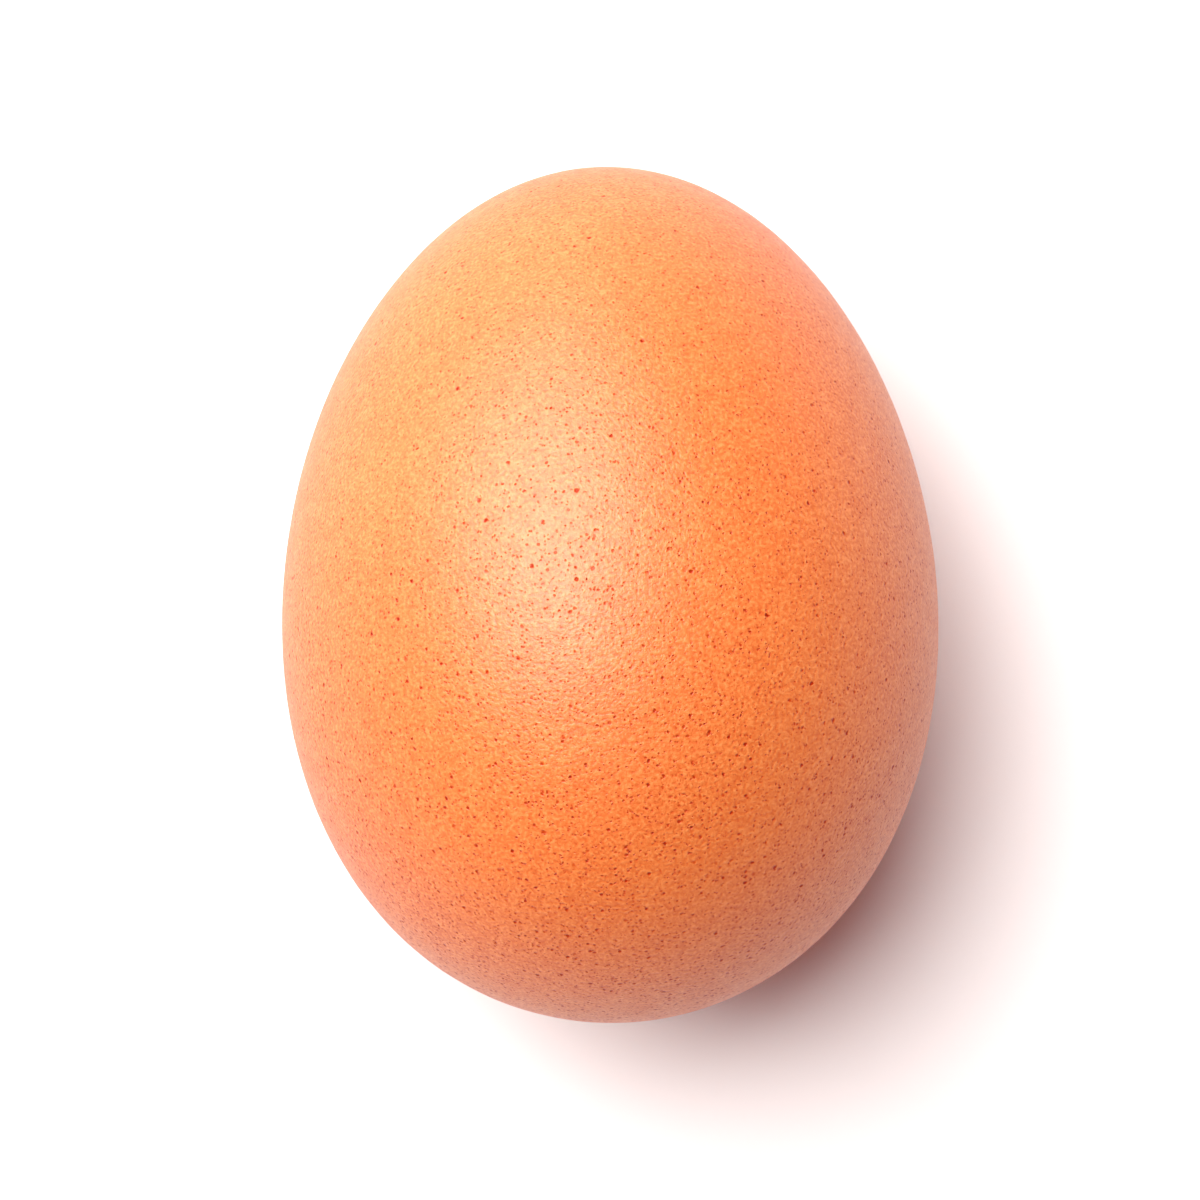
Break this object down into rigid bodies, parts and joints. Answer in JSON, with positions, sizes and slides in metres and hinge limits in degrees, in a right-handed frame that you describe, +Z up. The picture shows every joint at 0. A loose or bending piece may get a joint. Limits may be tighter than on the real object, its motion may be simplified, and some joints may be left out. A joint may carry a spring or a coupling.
{
  "type": "hen's egg",
  "caption": "Brown hen's egg in its whole shell, lying on its side: a smooth oval with one blunter end, standing on a small flat spot.",
  "frame": {"origin": "on the surface that the egg lies on, under the middle of its bounding box", "axes": "+Z up; +Y along the egg's length, from the blunt end towards the pointed end; +X to the right, seen from above with the pointed end away from the viewer"},
  "size_m": [0.0436, 0.057, 0.0435],
  "materials": {
    "shell": "natural matte to satin eggshell, orange-brown, with fine pores and faint mottling"
  },
  "bodies": {
    "root": {"egg": "shell"}
  },
  "joints": []
}
